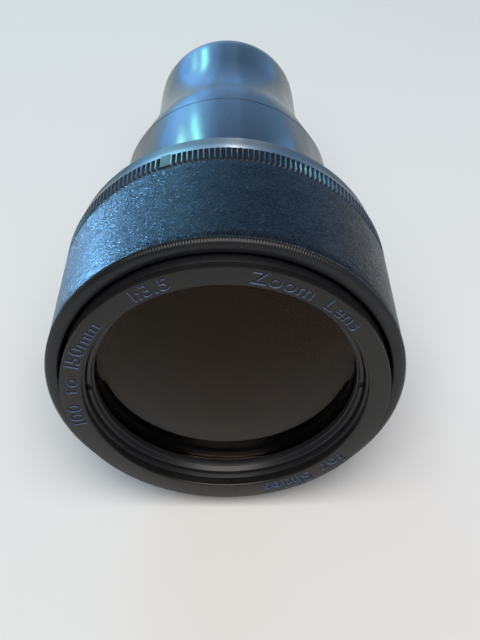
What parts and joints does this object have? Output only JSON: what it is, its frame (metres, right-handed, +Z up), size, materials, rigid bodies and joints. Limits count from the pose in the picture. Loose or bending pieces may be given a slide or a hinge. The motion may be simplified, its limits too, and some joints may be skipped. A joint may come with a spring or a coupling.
{
  "type": "zoom projection lens",
  "caption": "Zoom projection lens of a slide projector, with a large grained grip that turns, an engraved front ring and a stepped rear barrel.",
  "frame": {"origin": "on the optical axis at the foot of the rear barrel, where it enters the projector's lens bore", "axes": "+Y along the optical axis from the front glass towards the projector, +Z up, +X to the right of someone who looks along +Y"},
  "size_m": [0.0998, 0.1649, 0.0999],
  "materials": {
    "housing_plastic": "semi-gloss black moulding",
    "grip_plastic": "satin black moulding",
    "rim_plastic": "knurled black moulding, worn along its edges",
    "leatherette": "black grained leatherette",
    "name_ring_plastic": "semi-gloss black with engraved characters",
    "black_anodised": "black anodised",
    "stop_black": "flat black",
    "screw_steel": "zinc plated",
    "follower_brass": "turned",
    "coated_glass": "coated optical glass"
  },
  "bodies": {
    "housing": {"front_housing": "housing_plastic", "rear_barrel": "housing_plastic", "barrel_screw_1": "screw_steel", "barrel_screw_2": "screw_steel", "barrel_screw_3": "screw_steel", "guide_key_1": "follower_brass", "guide_key_2": "follower_brass", "guide_key_3": "follower_brass", "cam_snap_ring": "screw_steel", "cam_wave_washer": "screw_steel", "rear_inner_element": "coated_glass", "rear_spacer": "black_anodised", "rear_outer_element": "coated_glass", "rear_retaining_ring": "black_anodised"},
    "zoom_ring": {"grip_ring": "grip_plastic", "front_rim": "rim_plastic", "leatherette_band": "leatherette", "rear_rim": "rim_plastic", "cam_sleeve": "black_anodised", "drive_screw_1": "screw_steel", "drive_screw_2": "screw_steel"},
    "front_group": {"front_cell": "black_anodised", "name_ring": "name_ring_plastic", "front_retaining_ring": "black_anodised", "front_element": "coated_glass", "front_spacer": "black_anodised", "second_element": "coated_glass", "front_follower_1": "follower_brass", "front_follower_2": "follower_brass", "front_follower_3": "follower_brass"},
    "variator_group": {"variator_cell": "black_anodised", "variator_element": "coated_glass", "variator_retaining_ring": "black_anodised", "aperture_stop": "stop_black", "variator_follower_1": "follower_brass", "variator_follower_2": "follower_brass", "variator_follower_3": "follower_brass"}
  },
  "joints": [
    {"name": "zoom_turn", "type": "hinge", "parent": "housing", "child": "zoom_ring", "pos_m": [0, 0, 0], "axis": [0, 1, 0], "range_deg": [-40, 60]},
    {"name": "front_slide", "type": "slide", "parent": "housing", "child": "front_group", "axis": [0, -1, 0], "range_m": [-0.0041, 0.0061]},
    {"name": "variator_slide", "type": "slide", "parent": "housing", "child": "variator_group", "axis": [0, 1, 0], "range_m": [-0.0089, 0.0133]}
  ],
  "couplings": [
    {"joint": "front_slide", "follows": "zoom_turn", "m_per_rad": 0.0057296},
    {"joint": "variator_slide", "follows": "zoom_turn", "m_per_rad": 0.012605}
  ]
}
